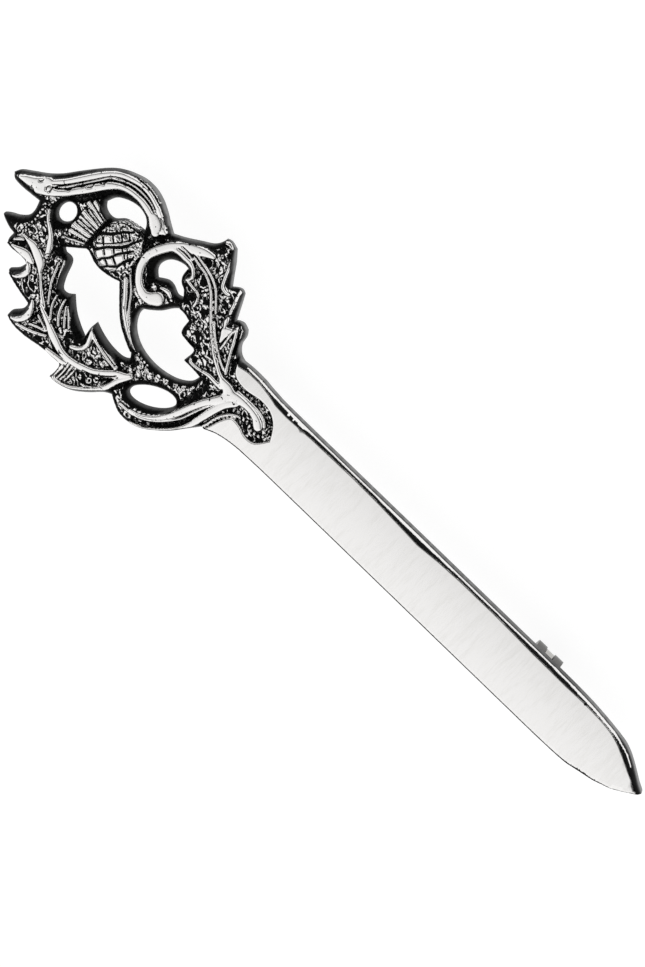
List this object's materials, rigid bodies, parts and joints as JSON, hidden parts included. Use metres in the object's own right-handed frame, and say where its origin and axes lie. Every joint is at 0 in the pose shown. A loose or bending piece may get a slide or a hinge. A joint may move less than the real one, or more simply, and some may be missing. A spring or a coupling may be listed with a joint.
{
  "type": "kilt pin",
  "caption": "Sword-shaped kilt pin with a cast, pierced thistle head, a hinged needle and a roll-over catch behind the blade.",
  "frame": {"origin": "on the surface that the pin lies on, below the middle of its outline's box", "axes": "+Y along the blade towards the thistle head, +Z out of the decorated face, +X to the right seen from the face"},
  "size_m": [0.0248, 0.095, 0.0083],
  "materials": {
    "antique_silver": "polished on the raised parts and the blade, blackened in the sunk ground",
    "steel": "drawn bright wire",
    "nickel": "dull nickel plate"
  },
  "bodies": {
    "casting": {"casting": "antique_silver", "hinge_rivet": "nickel"},
    "needle": {"needle": "steel"},
    "catch": {"catch_roller": "nickel"}
  },
  "joints": [
    {"name": "pin_hinge", "type": "hinge", "parent": "casting", "child": "needle", "pos_m": [0.00115, 0.0124, 0.0024], "axis": [1, 0, 0], "range_deg": [0, 100]},
    {"name": "catch_turn", "type": "hinge", "parent": "casting", "child": "catch", "pos_m": [0.00115, -0.0302, 0.0024], "axis": [0, -1, 0], "range_deg": [0, 80]}
  ]
}
